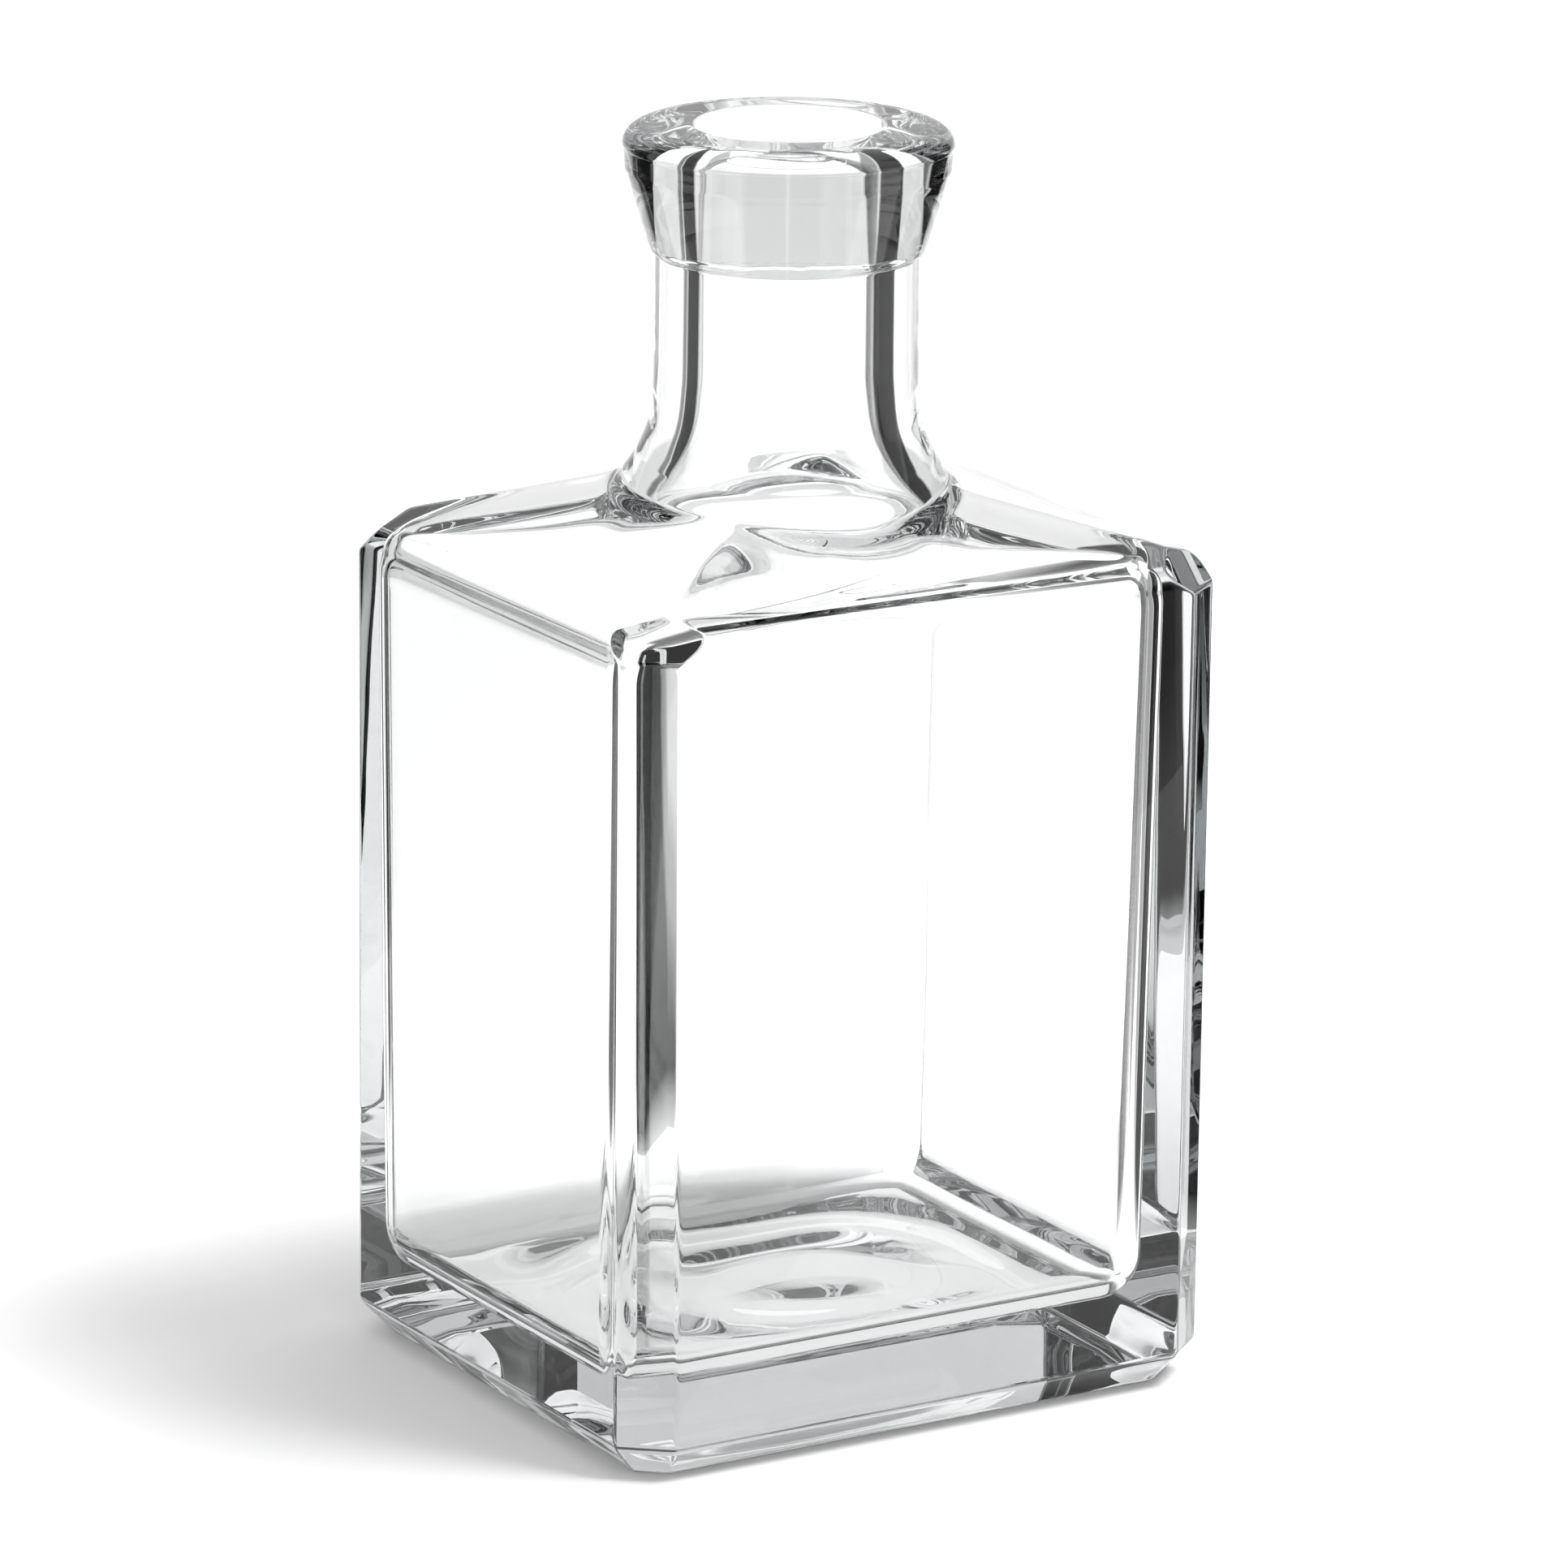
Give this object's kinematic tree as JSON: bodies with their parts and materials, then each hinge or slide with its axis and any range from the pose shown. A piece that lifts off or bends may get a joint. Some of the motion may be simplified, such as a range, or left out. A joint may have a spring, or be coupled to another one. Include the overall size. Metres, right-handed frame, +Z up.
{
  "type": "glass decanter",
  "caption": "Square-shouldered clear glass decanter with flat-cut corners, thick base, round neck and a flared mouth ring for a cork or stopper.",
  "frame": {"origin": "centre of the face the decanter stands on", "axes": "+Z up through the mouth, +X along the wider side of the body, +Y along its depth"},
  "size_m": [0.073, 0.064, 0.1363],
  "materials": {
    "clear_glass": "fire-polished, clear and colourless"
  },
  "bodies": {
    "root": {"vessel": "clear_glass", "lip_collar": "clear_glass"}
  },
  "joints": []
}
